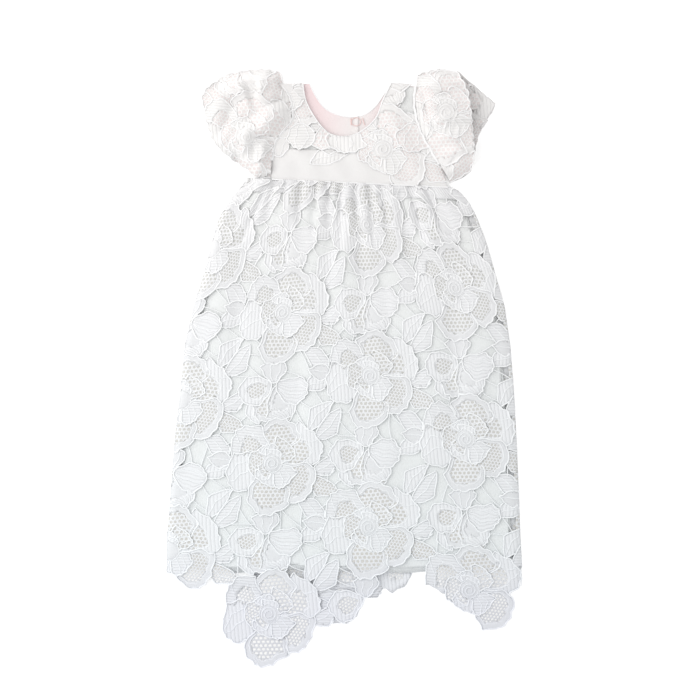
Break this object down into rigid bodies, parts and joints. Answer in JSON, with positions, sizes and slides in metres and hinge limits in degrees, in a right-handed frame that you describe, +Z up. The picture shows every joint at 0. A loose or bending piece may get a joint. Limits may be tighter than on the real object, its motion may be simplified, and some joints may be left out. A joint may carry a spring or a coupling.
{
  "type": "christening gown",
  "caption": "Long gathered infant christening gown of white guipure rose lace over satin lining, with short puffed sleeves and scalloped hem, laid flat on its back.",
  "frame": {"origin": "middle of the outline, on the surface the gown lies on", "axes": "+X to the right of the gown as seen from above, +Y from the hem to the neck, +Z up through the front"},
  "size_m": [0.4266, 0.7162, 0.0269],
  "materials": {
    "cotton_guipure": "matt cotton lace",
    "white_satin": "soft satin sheen",
    "pale_pink_satin": "soft satin sheen"
  },
  "bodies": {
    "root": {"skirt_lace_front": "cotton_guipure", "skirt_lace_back": "cotton_guipure", "skirt_lining_front": "white_satin", "skirt_lining_back": "white_satin", "bodice_lace_front": "cotton_guipure", "bodice_lining_front": "white_satin", "bodice_lace_back_left": "cotton_guipure", "bodice_lace_back_right": "cotton_guipure", "bodice_lining_back_left": "pale_pink_satin", "bodice_lining_back_right": "pale_pink_satin", "back_loop": "pale_pink_satin", "sleeve_left_front": "cotton_guipure", "sleeve_left_back": "cotton_guipure", "sleeve_right_front": "cotton_guipure", "sleeve_right_back": "cotton_guipure"}
  },
  "joints": []
}
